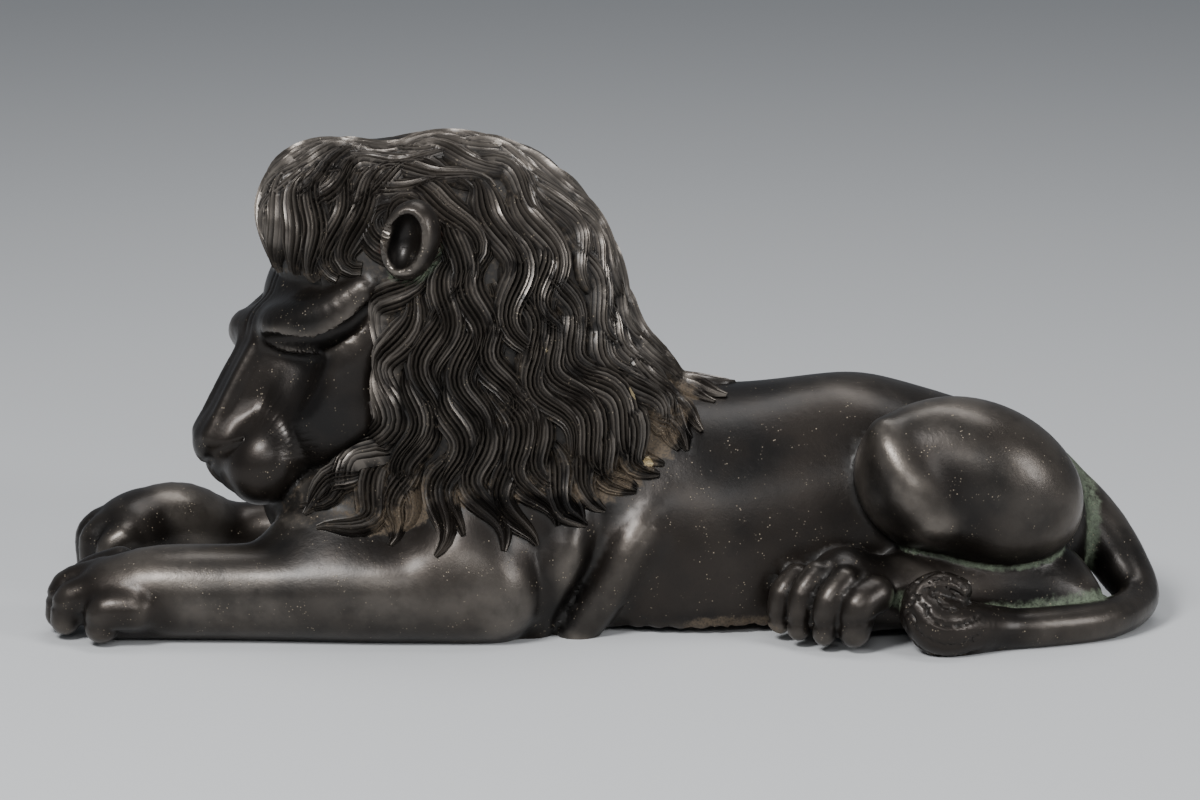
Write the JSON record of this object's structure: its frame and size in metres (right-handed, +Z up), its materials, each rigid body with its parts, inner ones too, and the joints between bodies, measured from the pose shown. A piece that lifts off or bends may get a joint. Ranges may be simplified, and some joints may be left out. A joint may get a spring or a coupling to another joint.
{
  "type": "reclining lion sculpture",
  "caption": "Cast bronze lion lying with its forelegs stretched out, its maned head bowed and turned, a hind leg folded alongside and the tail curled round to its tuft.",
  "frame": {"origin": "on the surface that the lion lies on, below the middle of its length and width", "axes": "+Z up; the lion faces -X; +Y to the lion's right, away from the side with the tail's tuft"},
  "size_m": [0.3628, 0.1394, 0.1596],
  "materials": {
    "bronze": "satin dark brown-black patina, with pale green and ochre deposits in the recesses"
  },
  "bodies": {
    "root": {"lion": "bronze"}
  },
  "joints": []
}
